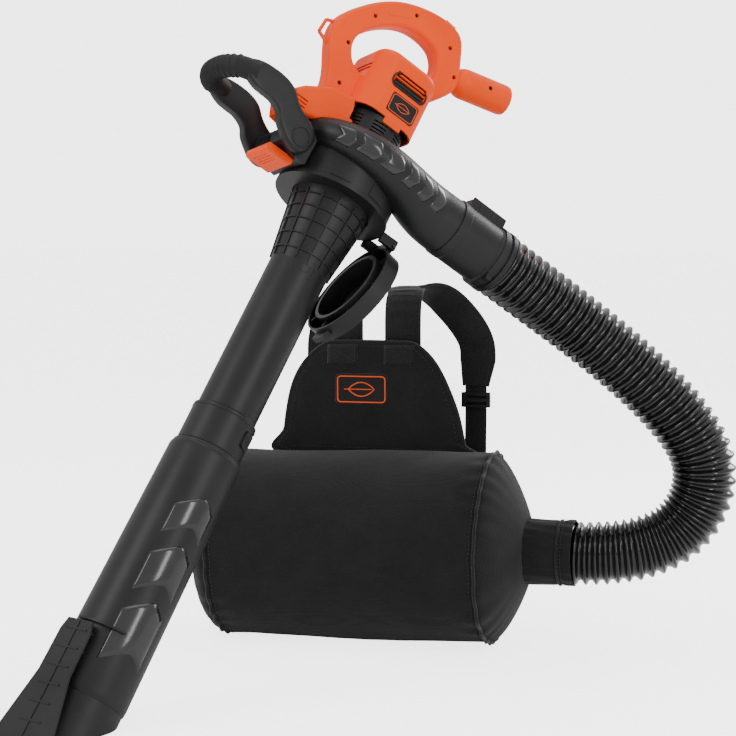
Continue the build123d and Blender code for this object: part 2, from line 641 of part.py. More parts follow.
def dome(x_seam, side, bulge, r_mouth):
    """Outline points of one soft end, from the seam to the middle."""
    pts = []
    for i in range(1, 6):
        t = math.radians(18 * i)
        r = BAG_R * math.cos(t)
        if r < r_mouth:
            break
        pts.append((r, x_seam + side * bulge * math.sin(t)))
    return pts


def build_bag():
    length = BAG_X1 - BAG_X0
    mouth = SLEEVE_R
    right = dome(length, 1, 56, mouth)
    left = dome(0, -1, 46, 1)
    out = [(0, -46)] + left[::-1] + [(BAG_R, 0), (BAG_R, length)] + right + [(mouth, length + 56)]
    solid = turned(out + [(0, length + 56)])
    k = BAG_WALL
    inner = [(0, -46 + k)] + [(r - k * 0.7, z + k * 0.7) for r, z in left[::-1]] + [(BAG_R - k, 0)]
    inner += [(BAG_R - k, length)] + [(r - k * 0.7, z - k * 0.7) for r, z in right]
    inner += [(mouth - k, length + 56 - k), (0, length + 56 - k)]
    shell = solid - turned(inner) - cyl(mouth - BAG_WALL, length, length + 80)
    save("bag_body", along_x(shell, BAG_X0))
    sleeve = along_x(ring(SLEEVE_R, SLEEVE_R - 2.4, length + 56, CUFF_END - BAG_X0), BAG_X0)
    save("bag_sleeve", sleeve)
    cuff = along_x(ring(SLEEVE_R - 2.42, 44.5, CUFF_END - 40, CUFF_END), 0)
    save("hose_cuff", cuff)
    for name, x in (("piping_left", BAG_X0), ("piping_right", BAG_X1)):
        bead = along_x(Torus(BAG_R + 0.4, 2.6), x) - along_x(cyl(BAG_R, -20, 20), x)
        save(name, bead)


def panel_outline():
    return [(-275, BAG_Z + 147), (-274, -668), (-262, -600), (-238, -548), (-200, -519), (-46, -519), (-4, -560),
            (28, -630), (40, -690), (42, BAG_Z + 147)]


def build_back_panel():
    panel = plate_xz(panel_outline(), PANEL_Y, PANEL_Y + 14)
    panel = fillet(panel.edges().filter_by(Axis.Y), 8)
    save("back_panel", panel - along_x(cyl(BAG_R + 0.1, -400, 400), -100))
    x, z = -117, -598
    badge = Pos(x, PANEL_Y - 0.7, z) * Box(104, 1.4, 60)
    save("panel_badge", fillet(badge.edges().filter_by(Axis.Y), 8))
    patches = [Pos(px, PANEL_Y - 0.6, -540) * Box(46, 1.2, 26) for px in (-172, -72)]
    save("strap_patches", patches[0] + patches[1])


def build_straps():
    """Two padded shoulder straps, each with its webbing and ladder buckle."""
    for name, x0, x1 in (("left", -172, -238), ("right", -70, 34)):
        front = PANEL_Y + 20
        rear = PANEL_Y + 126
        curve = Spline((x0, front, -560), (x0, front, -470), (x0, front + 17, -438), (x0, front + 57, -430),
                       ((x0 + x1) / 2, rear - 20, -450), (x1, rear - 4, -520), (x1, rear, -600))
        stations = [curve @ (i / 14) for i in range(15)]
        headings = [curve % (i / 14) for i in range(15)]
        band = loft([Plane(origin=p, x_dir=(1, 0, 0), z_dir=d) * Rectangle(58, 9.5)
                     for p, d in zip(stations, headings)])
        band -= block(-400, 200, PANEL_Y, PANEL_Y + 14.1, -900, -500)
        save("strap_" + name, band)
        low = BAG_Z + 92
        web = block(x1 - 19, x1 + 19, rear - 1.1, rear + 1.1, low, -603)
        ladder = Pos(x1, rear, -624) * (Box(50, 9, 26) - Pos(0, 0, 5) * Box(38.5, 20, 5)
                                        - Pos(0, 0, -6) * Box(38.5, 20, 5))
        save("webbing_" + name, web - Pos(x1, rear, -624) * Box(60, 12, 26) - band)
        save("buckle_" + name, ladder - band)


# ---- assembly -----------------------------------------------------------------------------
def build():
    build_upper_tube()
    build_tube_button()
    build_lower_tube()
    build_housing()
    build_adapter()
    build_motor_base()
    build_motor()
    build_impeller()
    build_motor_cover()
    build_handle()
    build_power()
    build_cowl()
    build_strap_eyelet()
    build_bracket()
    build_front_handle()
    build_lock_lever()
    build_intake_cover()
    build_hose()
    build_bag()
    build_back_panel()
    build_straps()
    for name, shape in NODES.items():
        export_step(shape, "parts/" + name + ".step")


build()
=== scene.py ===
"""Looks of the leaf vacuum mulcher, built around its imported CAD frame. Units are metres."""
import math

import bmesh
import bpy
from mathutils import Matrix, Vector, noise
from mathutils.bvhtree import BVHTree


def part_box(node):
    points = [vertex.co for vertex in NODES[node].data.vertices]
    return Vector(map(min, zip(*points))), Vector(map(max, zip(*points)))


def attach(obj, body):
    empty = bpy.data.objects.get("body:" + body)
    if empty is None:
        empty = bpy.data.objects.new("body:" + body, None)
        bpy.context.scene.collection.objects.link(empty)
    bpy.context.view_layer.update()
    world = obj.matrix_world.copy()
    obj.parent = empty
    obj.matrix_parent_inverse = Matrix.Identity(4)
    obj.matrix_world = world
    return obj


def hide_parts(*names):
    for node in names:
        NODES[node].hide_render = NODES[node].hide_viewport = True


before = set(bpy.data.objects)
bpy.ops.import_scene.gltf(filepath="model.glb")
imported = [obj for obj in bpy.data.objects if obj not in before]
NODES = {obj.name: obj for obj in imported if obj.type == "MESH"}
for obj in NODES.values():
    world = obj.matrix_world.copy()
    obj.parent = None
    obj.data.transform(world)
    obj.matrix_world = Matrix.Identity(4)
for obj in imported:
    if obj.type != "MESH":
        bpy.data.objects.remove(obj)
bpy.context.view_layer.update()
MM = 0.001
FLOOR_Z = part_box("lower_tube")[0].z

# ---- the head's own frame: z along the shaft and the suction tube, x towards the outlet -----
LEAN, HEADING, ROLL = (math.radians(a) for a in (34.9, 60.8, -16.4))
GRIP = Vector((-10, 0, 350)) * MM
TURN = (Matrix.Rotation(HEADING, 4, "Z") @ Matrix.Rotation(LEAN, 4, "Y")
        @ Matrix.Rotation(ROLL, 4, "Z"))
HEAD = TURN @ Matrix.Translation(-GRIP)


def head(x, y, z):
    """A point given in the head's frame, in millimetres, as a row-frame vector in metres."""
    return HEAD @ (Vector((x, y, z)) * MM)


# ---- materials ------------------------------------------------------------------------------
def shader(name, colour, rough, **sockets):
    """A new material with its principled shader and output, ready for more nodes."""
    material = bpy.data.materials.new(name)
    material.use_nodes = True
    tree = material.node_tree
    tree.nodes.clear()
    out = tree.nodes.new("ShaderNodeOutputMaterial")
    bsdf = tree.nodes.new("ShaderNodeBsdfPrincipled")
    tree.links.new(bsdf.outputs[0], out.inputs[0])
    bsdf.inputs["Base Color"].default_value = (*colour, 1)
    bsdf.inputs["Roughness"].default_value = rough
    bsdf.inputs["Specular IOR Level"].default_value = 0.3
    for key, value in sockets.items():
        bsdf.inputs[key.replace("_", " ")].default_value = value
    return material, tree, bsdf


def texture(tree, kind, scale, **sockets):
    """A procedural texture on object coordinates."""
    coords = tree.nodes.get("coords") or tree.nodes.new("ShaderNodeTexCoord")
    coords.name = "coords"
    node = tree.nodes.new(kind)
    node.inputs["Scale"].default_value = scale
    for key, value in sockets.items():
        node.inputs[key.replace("_", " ")].default_value = value
    tree.links.new(coords.outputs["Object"], node.inputs["Vector"])
    return node


def mottled(tree, bsdf, source, dark, light, low=0.35, high=0.65):
    """Varies the base colour between two tones."""
    ramp = tree.nodes.new("ShaderNodeValToRGB")
    ramp.color_ramp.elements[0].position = low
    ramp.color_ramp.elements[1].position = high
    ramp.color_ramp.elements[0].color = (*dark, 1)
    ramp.color_ramp.elements[1].color = (*light, 1)
    tree.links.new(source, ramp.inputs[0])
    tree.links.new(ramp.outputs[0], bsdf.inputs["Base Color"])


def varied_rough(tree, bsdf, source, low, high):
    """Varies the roughness between two values."""
    remap = tree.nodes.new("ShaderNodeMapRange")
    remap.inputs["To Min"].default_value = low
    remap.inputs["To Max"].default_value = high
    tree.links.new(source, remap.inputs["Value"])
    tree.links.new(remap.outputs["Result"], bsdf.inputs["Roughness"])


def bumped(tree, bsdf, sources, strength, distance):
    """Adds one bump from the sum of several heights."""
    height = sources[0]
    for extra in sources[1:]:
        add = tree.nodes.new("ShaderNodeMath")
        tree.links.new(height, add.inputs[0])
        tree.links.new(extra, add.inputs[1])
        height = add.outputs[0]
    bump = tree.nodes.new("ShaderNodeBump")
    bump.inputs["Strength"].default_value = strength
    bump.inputs["Distance"].default_value = distance
    tree.links.new(height, bump.inputs["Height"])
    tree.links.new(bump.outputs[0], bsdf.inputs["Normal"])


def moulded(name, dark, light, rough, grain, spread=0.08, strength=0.12, **sockets):
    """Moulded plastic: fine spark-eroded grain and slight tone and gloss changes."""
    material, tree, bsdf = shader(name, light, rough, **sockets)
    cloud = texture(tree, "ShaderNodeTexNoise", 9.0, Detail=3.0)
    fine = texture(tree, "ShaderNodeTexNoise", grain, Detail=2.0)
    mottled(tree, bsdf, cloud.outputs[0], dark, light)
    varied_rough(tree, bsdf, cloud.outputs[0], rough - spread, rough + spread)
    bumped(tree, bsdf, [fine.outputs[0]], strength, 0.0004)
    return material


def woven(name, dark, light, pitch, rough=0.85, sheen=0.12):
    """Plain-woven synthetic cloth: crossing threads, slubs and a soft sheen."""
    material, tree, bsdf = shader(name, light, rough, Sheen_Weight=sheen, Sheen_Roughness=0.45)
    bsdf.inputs["Specular IOR Level"].default_value = 0.25
    threads = []
    for direction in ("X", "Y", "Z"):
        wave = texture(tree, "ShaderNodeTexWave", 1.0 / pitch / 3.1, Distortion=1.2, Detail=1.0)
        wave.bands_direction = direction
        threads.append(wave.outputs[0])
    slub = texture(tree, "ShaderNodeTexNoise", 420.0, Detail=5.0, Roughness=0.7)
    cloud = texture(tree, "ShaderNodeTexNoise", 26.0, Detail=4.0)
    blend = tree.nodes.new("ShaderNodeMath")
    blend.operation = "MULTIPLY_ADD"
    blend.inputs[1].default_value = 0.45
    tree.links.new(cloud.outputs[0], blend.inputs[0])
    tree.links.new(slub.outputs[0], blend.inputs[2])
    mottled(tree, bsdf, blend.outputs[0], dark, light, 0.5, 0.95)
    bumped(tree, bsdf, threads + [slub.outputs[0]], 0.35, 0.0006)
    return material


def metal(name, colour, rough):
    """Bare or blackened metal with fine uneven gloss."""
    material, tree, bsdf = shader(name, colour, rough, Metallic=1.0)
    streak = texture(tree, "ShaderNodeTexNoise", 300.0, Detail=4.0)
    varied_rough(tree, bsdf, streak.outputs[0], rough - 0.1, rough + 0.15)
    bumped(tree, bsdf, [streak.outputs[0]], 0.08, 0.0002)
    return material


def make_materials():
    """Every material by its key: two tones, roughness, then grain or thread pitch."""
    return {
        "black": moulded("black_plastic", (0.0085, 0.0085, 0.0095), (0.014, 0.014, 0.015),
                         0.42, 2600.0, 0.06, 0.1),
        "orange": moulded("orange_plastic", (0.93, 0.066, 0.0), (1.0, 0.078, 0.0),
                          0.38, 1800.0, 0.05, 0.06, Specular_IOR_Level=0.12),
        "gloss": moulded("gloss_inlay", (0.013, 0.013, 0.014), (0.022, 0.022, 0.024),
                         0.2, 600.0, 0.04, 0.03, Coat_Weight=0.5, Coat_Roughness=0.14),
        "hose": moulded("hose_plastic", (0.0035, 0.0035, 0.004), (0.007, 0.007, 0.008),
                        0.14, 500.0, 0.06, 0.05, Coat_Weight=0.5, Coat_Roughness=0.06),
        "rubber": moulded("soft_rubber", (0.007, 0.007, 0.0075), (0.012, 0.012, 0.0125),
                          0.6, 3000.0),
        "cloth": woven("bag_cloth", (0.0042, 0.0042, 0.0045), (0.012, 0.012, 0.0128), 0.0016),
        "tape": woven("webbing_tape", (0.005, 0.005, 0.0055), (0.014, 0.014, 0.015),
                      0.0024, 0.8, 0.25),
        "thread": woven("sewing_thread", (0.02, 0.02, 0.022), (0.045, 0.045, 0.048),
                        0.0008, 0.7, 0.2),
        "mesh": woven("spacer_mesh", (0.004, 0.004, 0.0045), (0.018, 0.018, 0.0195),
                      0.0042, 0.9, 0.2),
        "plate": moulded("badge_plate", (0.006, 0.006, 0.006), (0.010, 0.010, 0.010), 0.3, 900.0),
        "line": moulded("badge_line", (0.80, 0.085, 0.008), (0.88, 0.10, 0.012), 0.42, 900.0),
        # dark parts inside the machine, and painted shade: the dark sheet between the louvre bars
        # that stands in for the shaded vent openings
        "dark": moulded("dark_parts_and_vent_shade", (0.003, 0.003, 0.003), (0.006, 0.006, 0.006), 0.7, 900.0),
        "steel": metal("steel", (0.55, 0.55, 0.56), 0.32),
        "screw": metal("blackened_steel", (0.05, 0.05, 0.052), 0.42),
        "cast": metal("cast_aluminium", (0.62, 0.62, 0.64), 0.45),
        "copper": metal("copper", (0.72, 0.34, 0.18), 0.3),
        "brass": metal("brass", (0.78, 0.60, 0.28), 0.28),
    }


MATERIAL = make_materials()
# CAD nodes by their look; every other node is black plastic
NODE_LOOK = {
    "orange": ("handle_shell_near", "handle_shell_far", "motor_cover", "shoulder_cowl",
               "strap_eyelet", "handle_lock_lever", "grip_inlay", "power_switch"),
    "rubber": ("front_grip_sleeve", "cover_feet"),
    "plate": ("badge_plate",),
    "steel": ("rotor_shaft", "impeller_nut", "shredding_blade", "bearing_lower", "bearing_upper",
              "armature_core", "stator_core"),
    "screw": ("handle_screws", "cover_hinge_pin", "adapter_button_pin"),
    "copper": ("commutator", "field_coils"),
    "brass": ("brush_holders", "inlet_blades"),
    "cast": ("impeller",),
    "dark": ("carbon_brushes", "switch_module", "motor_frame", "hose_cuff"),
}


def dress_frame():
    """Gives every carried-over CAD node its material and shades its curved faces smooth."""
    look = {node: key for key, names in NODE_LOOK.items() for node in names}
    for name, obj in NODES.items():
        obj.data.materials.clear()
        obj.data.materials.append(MATERIAL[look.get(name, "black")])
        obj.data.set_sharp_from_angle(angle=math.radians(32))  # flats meet at more than this


# ---- mesh helpers ---------------------------------------------------------------------------
def piece(name, verts, faces, key, body="machine"):
    """A new mesh object in the row frame, dressed and riding on a body."""
    mesh = bpy.data.meshes.new(name)
    mesh.from_pydata([tuple(v) for v in verts], [], faces)
    mesh.validate()
    bm = bmesh.new()
    bm.from_mesh(mesh)
    bmesh.ops.recalc_face_normals(bm, faces=bm.faces)
    bm.to_mesh(mesh)
    bm.free()
    obj = bpy.data.objects.new(name, mesh)
    bpy.context.scene.collection.objects.link(obj)
    mesh.materials.append(MATERIAL[key])
    for poly in mesh.polygons:
        poly.use_smooth = True
    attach(obj, body)
    return obj


def grid_faces(rows, columns, wrap=False):
    """Quads over a grid of points; wrap joins the last column to the first."""
    faces = []
    for i in range(rows - 1):
        for j in range(columns if wrap else columns - 1):
            here, after = i * columns, (i + 1) * columns
            k = (j + 1) % columns
            faces.append((here + j, here + k, after + k, after + j))
    return faces


def loft_rings(name, rings, key, body="machine", caps=True):
    """A tube or closed form through equal rings of points, with its ends filled."""
    count = len(rings[0])
    verts = [p for r in rings for p in r]
    faces = grid_faces(len(rings), count, wrap=True)
    if caps:
        faces.append(tuple(range(count))[::-1])
        faces.append(tuple(range(len(verts) - count, len(verts))))
    return piece(name, verts, faces, key, body)


def subdivide(obj):
    """One level of subdivision."""
    modifier = obj.modifiers.new("smooth", "SUBSURF")
    modifier.levels = modifier.render_levels = 1


def bead(name, points, radius, key, body="machine", closed=False):
    """A round bead, cord edge or seam along points."""
    curve = bpy.data.curves.new(name, "CURVE")
    curve.dimensions = "3D"
    curve.bevel_depth = radius
    curve.bevel_resolution = 3
    spline = curve.splines.new("POLY")
    spline.points.add(len(points) - 1)
    for point, place in zip(spline.points, points):
        point.co = (*place, 1)
    spline.use_cyclic_u = closed
    curve.use_fill_caps = True
    obj = bpy.data.objects.new(name, curve)
    bpy.context.scene.collection.objects.link(obj)
    curve.materials.append(MATERIAL[key])
    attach(obj, body)
    return obj


def stitches(name, points, pitch=0.006, radius=0.0006):
    """Short separate stitches along a line of points, as one mesh."""
    verts, faces = [], []
    total = sum((b - a).length for a, b in zip(points, points[1:]))
    count = max(2, int(total / pitch))
    for i in range(count):
        a = along(points, total * i / count)
        b = along(points, total * (i + 0.62) / count)
        axis = (b - a).normalized()
        side = axis.orthogonal().normalized() * radius
        other = axis.cross(side)
        base = len(verts)
        for place, size in ((a, 0.35), ((a + b) / 2, 1.0), (b, 0.35)):
            verts += [place + way * size for way in (side, other, -side, -other)]
        for k in (base, base + 4):
            for j in range(4):
                n = (j + 1) % 4
                faces.append((k + j, k + n, k + 4 + n, k + 4 + j))
        faces += [tuple(range(base, base + 4)), tuple(range(base + 8, base + 12))]
    return piece(name, verts, faces, "thread")


def along(points, distance):
    """The point at a distance along a chain of points."""
    for a, b in zip(points, points[1:]):
        step = (b - a).length
        if distance <= step:
            return a.lerp(b, distance / step if step else 0)
        distance -= step
    return points[-1].copy()


def wrinkle(place, scale, amount, seed=0.0):
    """Smooth cloth-like unevenness at a place."""
    where = place * scale + Vector((seed, seed * 1.7, -seed))
    return amount * (noise.noise(where) + 0.45 * noise.noise(where * 2.3))


# ---- camera, light and floor ----------------------------------------------------------------
CAMERA_AT = Vector((0.8224, -3.2464, -0.3250))
CAMERA_AZIMUTH, CAMERA_PITCH = math.radians(15.5), math.radians(3.84)
LENS, SENSOR = 102.1, 36
LIGHTS_FACE = (0, 0, -0.5)
LIGHTS = (("key", (-2.2, -2.6, 1.9), (1.0, 1.8), 42), ("fill", (2.8, -2.0, 0.8), (0.5, 2.2), 34),
          ("top", (0.2, 0.2, 2.6), (2.0, 2.0), 20), ("rim", (1.6, 2.6, 0.9), (1.2, 1.2), 34))
AMBIENT = 0.95
BACKDROP_EXTRA = 3.0  # added to the backdrop and the floor as the camera sees them
FLOOR_HALF, FLOOR_TONE = 60.0, 0.93


def build_camera():
    """The camera, standing where the photograph was taken from."""
    data = bpy.data.cameras.new("camera")
    data.lens = LENS
    data.sensor_width = SENSOR
    camera = bpy.data.objects.new("camera", data)
    camera.location = CAMERA_AT
    camera.rotation_euler = (math.radians(90) - CAMERA_PITCH, 0, CAMERA_AZIMUTH)
    bpy.context.scene.collection.objects.link(camera)
    bpy.context.scene.camera = camera


def area_light(name, place, size, power):
    """A soft rectangular light turned towards the object."""
    data = bpy.data.lights.new(name, "AREA")
    data.shape = "RECTANGLE"
    data.size, data.size_y = size
    data.energy = power
    light = bpy.data.objects.new(name, data)
    light.location = place
    way = Vector(LIGHTS_FACE) - Vector(place)
    light.rotation_euler = way.to_track_quat("-Z", "Y").to_euler()
    bpy.context.scene.collection.objects.link(light)


def seen_brighter(tree, strength, base):
    """Sets a strength that is brighter for what is seen directly, for an even pale backdrop."""
    path = tree.nodes.new("ShaderNodeLightPath")
    scale = tree.nodes.new("ShaderNodeMath")
    scale.operation = "MULTIPLY_ADD"
    scale.inputs[1].default_value = BACKDROP_EXTRA
    scale.inputs[2].default_value = base
    tree.links.new(path.outputs["Is Camera Ray"], scale.inputs[0])
    tree.links.new(scale.outputs[0], strength)


def build_studio():
    """Four soft lights, an even white world and a pale floor."""
    for light in LIGHTS:
        area_light(*light)
    world = bpy.data.worlds.new("studio")
    world.use_nodes = True
    background = world.node_tree.nodes["Background"]
    background.inputs[0].default_value = (1, 1, 1, 1)
    seen_brighter(world.node_tree, background.inputs[1], AMBIENT)
    bpy.context.scene.world = world
    mesh = bpy.data.meshes.new("floor")
    corners = [(x * FLOOR_HALF, y * FLOOR_HALF, FLOOR_Z)
               for x, y in ((-1, -1), (1, -1), (1, 1), (-1, 1))]
    mesh.from_pydata(corners, [], [(0, 1, 2, 3)])
    floor = bpy.data.objects.new("floor", mesh)
    bpy.context.scene.collection.objects.link(floor)
    pale, tree, bsdf = shader("pale_floor", (FLOOR_TONE,) * 3, 0.8, Emission_Color=(1, 1, 1, 1))
    seen_brighter(tree, bsdf.inputs["Emission Strength"], 0.0)
    mesh.materials.append(pale)


# ---- hose -----------------------------------------------------------------------------------
HOSE_ROUTE = [(135.96, -19.42, -380.72), (202.14, 38.24, -438.36), (300, 92, -520),
              (383, 130, -600), (440, 152, -676), (450, 162, -737), (429, 163, -796),
              (384, 154, -838), (302, 133, -860), (232, 133, -860)]
HOSE_OUT, HOSE_IN, HOSE_PITCH = 0.0520, 0.0440, 0.0160
HOSE_WALL = 0.0012
HOSE_VALLEY = 1.3  # above 1, the valleys between the ridges are wider than the ridges
ROWS_PER_RIDGE, HOSE_AROUND = 12, 72
LOOK_AHEAD = 0.004  # way along the route, either side, over which its direction is read


def route_line():
    """The hose's centreline: points read from one smooth NURBS spline."""
    curve = bpy.data.curves.new("hose_route", "CURVE")
    curve.dimensions = "3D"
    curve.resolution_u = 24
    spline = curve.splines.new("NURBS")
    spline.points.add(len(HOSE_ROUTE) - 1)
    for point, place in zip(spline.points, HOSE_ROUTE):
        point.co = (*(Vector(place) * MM), 1)
    spline.order_u = 3
    spline.use_endpoint_u = True
    holder = bpy.data.objects.new("hose_route", curve)
    mesh = bpy.data.meshes.new_from_object(holder)
    points = [v.co.copy() for v in mesh.vertices]
    bpy.data.objects.remove(holder)
    bpy.data.meshes.remove(mesh)
    return points


def build_hose():
    """Corrugated hose: a helical ridge wound along the route."""
    line = route_line()
    total = sum((b - a).length for a, b in zip(line, line[1:]))
    rows = int(total / HOSE_PITCH * ROWS_PER_RIDGE)
    up = Vector((0, 0, 1))
    verts = []
    for i in range(rows + 1):
        s = total * i / rows
        here = along(line, s)
        axis = (along(line, min(total, s + LOOK_AHEAD))
                - along(line, max(0, s - LOOK_AHEAD))).normalized()
        up = (up - axis * up.dot(axis)).normalized()
        other = axis.cross(up)
        for j in range(HOSE_AROUND):
            angle = 2 * math.pi * j / HOSE_AROUND
            phase = (s / HOSE_PITCH + j / HOSE_AROUND) % 1.0
            ridge = 0.5 - 0.5 * math.cos(2 * math.pi * phase)
            radius = HOSE_IN + (HOSE_OUT - HOSE_IN) * ridge ** HOSE_VALLEY
            verts.append(here + (up * math.cos(angle) + other * math.sin(angle)) * radius)
    faces = grid_faces(rows + 1, HOSE_AROUND, wrap=True)
    hose = piece("corrugated_hose", verts, faces, "hose")
    solid = hose.modifiers.new("wall", "SOLIDIFY")
    solid.thickness = HOSE_WALL
    solid.offset = -1
    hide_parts("hose")


# ---- pads, ribs and marks laid on the mouldings ---------------------------------------------
PAD_EDGE = (0.1, 0.8, 1.0)  # share of a pad's lift at its rim, one row in, and beyond
PAD_SUNK = 0.0008


def skin(*names):
    """A search tree over the surfaces of some CAD nodes."""
    verts, faces = [], []
    for name in names:
        mesh = NODES[name].data
        base = len(verts)
        verts += [v.co.copy() for v in mesh.vertices]
        faces += [tuple(base + i for i in p.vertices) for p in mesh.polygons]
    return BVHTree.FromPolygons(verts, faces)


def surface(obj):
    """A search tree over a piece made here."""
    mesh = obj.data
    return BVHTree.FromPolygons([v.co for v in mesh.vertices],
                                [tuple(p.vertices) for p in mesh.polygons])


def touch(tree, start, towards):
    """Where the way from start to towards meets a surface, and the normal facing start."""
    way = (towards - start).normalized()
    place, normal, _, _ = tree.ray_cast(start, way)
    if place is None:
        return towards.copy(), -way
    return place, (-normal if normal.dot(way) > 0 else normal)


def slab_faces(rows, columns):
    """Faces of a thin slab: a grid of points, the same grid below it, and its rim."""
    count = rows * columns
    faces = grid_faces(rows, columns)
    rim = list(range(columns)) + [i * columns + columns - 1 for i in range(1, rows)]
    rim += [count - 1 - j for j in range(1, columns)]
    rim += [i * columns for i in range(rows - 2, 0, -1)]
    under = [tuple(k + count for k in face) for face in faces]
    sides = [(a, b, b + count, a + count) for a, b in zip(rim, rim[1:] + rim[:1])]
    return faces + sides + under


def laid_pad(name, tree, rays, lift, key):
    """A thin moulded pad with softened edges that follows the surface under a grid of rays."""
    rows, columns = len(rays), len(rays[0])
    top, low = [], []
    for i, row in enumerate(rays):
        for j, (start, towards) in enumerate(row):
            place, normal = touch(tree, start, towards)
            inset = min(i, j, rows - 1 - i, columns - 1 - j)
            top.append(place + normal * lift * PAD_EDGE[min(inset, 2)])
            low.append(place - normal * PAD_SUNK)
    piece(name, top + low, slab_faces(rows, columns), key)


def laid_bead(name, tree, rays, radius, key, closed=True):
    """A raised line along the surface."""
    points = [touch(tree, start, towards)[0] for start, towards in rays]
    bead(name, points, radius, key, closed=closed)


def circle(count):
    """Cosine and sine of evenly spaced angles, once round."""
    angles = [2 * math.pi * j / count for j in range(count)]
    return [(math.cos(a), math.sin(a)) for a in angles]


def rounded(width, height, corner, steps=5):
    """Points round a rounded rectangle about the middle."""
    points = []
    for k, (sx, sy) in enumerate(((1, 1), (-1, 1), (-1, -1), (1, -1))):
        for i in range(steps + 1):
            angle = math.radians(90 * (k + i / steps))
            points.append((sx * (width / 2 - corner) + corner * math.cos(angle),
                           sy * (height / 2 - corner) + corner * math.sin(angle)))
    return points


def leaf(size):
    """A generic leaf outline with its points along x."""
    half = [(size * (i / 8 - 0.5), 0.26 * size * math.sin(math.pi * i / 8) ** 0.8)
            for i in range(9)]
    return half + [(x, -y) for x, y in half[-2:0:-1]]


# nozzle tube in the head's frame: radius at its top, and how it widens on the way down
TUBE_TOP_Z, TUBE_TOP_R, TUBE_FLARE, TUBE_LENGTH = -440, 53.5, 6.5, 465
TUBE_SKIN = ((-444, 0.2), (-447, 1.8), (-452, 2.4), (-560, 2.4), (-650, 2.4), (-740, 2.4),
             (-830, 2.4), (-838, 1.6), (-840, 0.2))  # heights with the skin's lift
TUBE_CHEVRONS = ((-516, 48), (-594, 62), (-684, 80))  # tops with lengths
CHEVRON_MIDDLE, CHEVRON_LEFT, CHEVRON_SPAN = -82, -122, 66  # degrees round the tube
CHEVRON_SLOPE, CHEVRON_TIP = 0.75, 6  # mm down per degree, and half the rounded tip in degrees
TUBE_MARK = (-104, -128)  # degrees round the upper tube, and height
DEGREES_PER_MM = 0.9  # round the upper tube
TUBE_ARROWS, NECK_BEADS = (-96, -84), (-382.5, -437.5)  # heights


def tube_ray(angle, z):
    """A way in to the suction tube's axis from an angle round it in degrees."""
    a = math.radians(angle)
    return head(200 * math.cos(a), 200 * math.sin(a), z), head(0, 0, z)


def tube_shell():
    """The nozzle tube's smooth outer skin, over the plain tube."""
    rings = []
    for z, lift in TUBE_SKIN:
        radius = TUBE_TOP_R + TUBE_FLARE * (TUBE_TOP_Z - z) / TUBE_LENGTH + lift
        rings.append([head(radius * c, radius * s, z) for c, s in circle(96)])
    return loft_rings("nozzle_tube_skin", rings, "black", caps=False)


def build_tube_marks():
    """Glossy chevrons down the nozzle tube, and the pinched marks on the upper tube."""
    low = surface(tube_shell())
    for i, (top, length) in enumerate(TUBE_CHEVRONS):
        rays = []
        for j in range(17):
            angle = CHEVRON_LEFT + CHEVRON_SPAN * j / 16
            aside = math.hypot(angle - CHEVRON_MIDDLE, CHEVRON_TIP) - CHEVRON_TIP
            crest = top - CHEVRON_SLOPE * max(0.0, aside)
            rays.append([tube_ray(angle, crest - length * k / 8) for k in range(9)])
        laid_pad(f"tube_chevron_{i + 1}", low, rays, 0.0012, "gloss")
    up = skin("upper_tube")
    turn, level = TUBE_MARK
    for name, outline, radius in (("tube_mark_border", rounded(44, 26, 6), 0.0006),
                                  ("tube_mark_leaf", leaf(26), 0.0005)):
        rays = [tube_ray(turn + x * DEGREES_PER_MM, level + y) for x, y in outline]
        laid_bead(name, up, rays, radius, "black")
    for i, z in enumerate(TUBE_ARROWS):
        arrow = ((-140, z), (-118, z), (-126, z - 5), (-118, z), (-126, z + 5))
        laid_bead(f"tube_arrow_{i + 1}", up, [tube_ray(*p) for p in arrow], 0.0005, "black",
                  closed=False)
    for i, z in enumerate(NECK_BEADS):
        laid_bead(f"neck_bead_{i + 1}", up, [tube_ray(6 * k, z) for k in range(60)], 0.0009,
                  "black")


# the scroll's centreline: once round most of the housing, then out along the duct
SCROLL_LINE = [(88 * math.cos(math.radians(a)), 88 * math.sin(math.radians(a)), z)
               for a, z in ((178, 80), (205, 77), (230, 74), (255, 71), (280, 69))]
SCROLL_LINE += [(56, -76, 67.5), (94, -62, 66.3), (130, -51.5, 66), (168, -50, 66)]
SCROLL_CHEVRONS = 6
SCROLL_START, SCROLL_STEP = 84, 32.5  # middle of the first along the line, and the step to the next
SCROLL_LEAN, SCROLL_RISE = (-46, 16), 5  # side edges of the first in degrees, and the rise per step
SCROLL_BACK, SCROLL_DEEP, SCROLL_TIP = 12, 21, 9  # back from its middle, its depth, and its tip


def scroll_ray(distance, lean):
    """A way in to the scroll's centreline, leaning up by some degrees from straight outwards."""
    line = [Vector(p) for p in SCROLL_LINE]
    here = along(line, distance)
    ahead = (along(line, distance + 6) - along(line, distance - 6)).normalized()
    out = ahead.cross(Vector((0, 0, 1))).normalized()
    a = math.radians(lean)
    far = here + (out * math.cos(a) + Vector((0, 0, 1)) * math.sin(a)) * 110
    return head(*far), head(*here)


def build_scroll_marks():
    """Glossy chevrons along the scroll, pointing downstream."""
    tree = skin("volute_upper", "volute_lower")
    for i in range(SCROLL_CHEVRONS):
        low, high = (edge + SCROLL_RISE * i for edge in SCROLL_LEAN)
        back = SCROLL_START + SCROLL_STEP * i - SCROLL_BACK
        rays = []
        for j in range(13):
            lean = low + (high - low) * j / 12
            push = SCROLL_TIP * (1 - abs(j - 6) / 6)
            rays.append([scroll_ray(back + push + SCROLL_DEEP * k / 6, lean) for k in range(7)])
        laid_pad(f"scroll_chevron_{i + 1}", tree, rays, 0.0008, "gloss")


